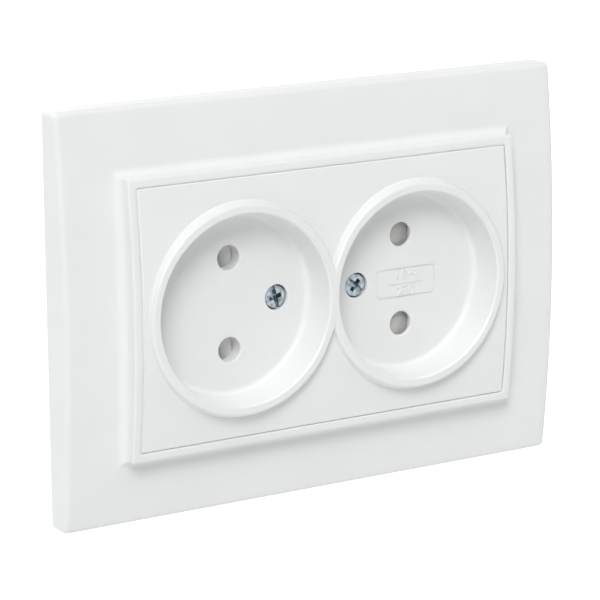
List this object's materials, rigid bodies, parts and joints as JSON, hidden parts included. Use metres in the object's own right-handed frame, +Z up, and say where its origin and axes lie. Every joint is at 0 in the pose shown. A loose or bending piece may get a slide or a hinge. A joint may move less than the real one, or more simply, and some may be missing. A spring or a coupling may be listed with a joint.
{
  "type": "double wall socket",
  "caption": "Flush double wall socket in white plastic: domed frame, cover with round wells for two-pin plugs, sliding shutters, contacts in a base, support plate and spreading claws.",
  "frame": {"origin": "centre of the support plate's slots, on the wall's surface", "axes": "+X right as seen from the room, +Y into the wall, +Z up"},
  "size_m": [0.1176, 0.0319, 0.0846],
  "materials": {
    "frame_plastic": "white moulded plastic, satin gloss",
    "cover_plastic": "white moulded plastic, satin gloss",
    "shutter_plastic": "off-white moulded plastic",
    "carrier_plastic": "off-white moulded plastic",
    "base_plastic": "light grey heat-resistant plastic",
    "plated_screw": "zinc plated",
    "plate_steel": "galvanised sheet",
    "claw_steel": "hardened and plated strip",
    "spring_steel": "bright spring strip",
    "brass": "plain sheet and turned brass"
  },
  "bodies": {
    "socket": {"frame": "frame_plastic", "cover": "cover_plastic", "cover_screws": "plated_screw", "left_shutter_spring": "spring_steel", "right_shutter_spring": "spring_steel", "shutter_carrier": "carrier_plastic", "support_plate": "plate_steel", "base": "base_plastic", "screw_inserts": "brass", "upper_busbar": "brass", "lower_busbar": "brass", "contact_springs": "spring_steel", "upper_terminal": "brass", "lower_terminal": "brass", "terminal_screws": "plated_screw", "claw_screws": "plated_screw", "plate_screws": "plated_screw"},
    "left_shutter_body": {"left_shutter": "shutter_plastic"},
    "right_shutter_body": {"right_shutter": "shutter_plastic"},
    "upper_claw_body": {"upper_claw": "claw_steel"},
    "lower_claw_body": {"lower_claw": "claw_steel"}
  },
  "joints": [
    {"name": "left_shutter_slide", "type": "slide", "parent": "socket", "child": "left_shutter_body", "axis": [1, 0, 0], "range_m": [0, 0.0054], "stiffness_N_per_m": 60, "springref_m": -0.003, "deforming": ["left_shutter_spring"]},
    {"name": "right_shutter_slide", "type": "slide", "parent": "socket", "child": "right_shutter_body", "axis": [-1, 0, 0], "range_m": [0, 0.0054], "stiffness_N_per_m": 60, "springref_m": -0.003, "deforming": ["right_shutter_spring"]},
    {"name": "upper_claw_swing", "type": "hinge", "parent": "socket", "child": "upper_claw_body", "pos_m": [-0.009, 0.0161, 0.022], "axis": [-1, 0, 0], "range_deg": [0, 22]},
    {"name": "lower_claw_swing", "type": "hinge", "parent": "socket", "child": "lower_claw_body", "pos_m": [0.009, 0.0161, -0.022], "axis": [1, 0, 0], "range_deg": [0, 22]}
  ]
}
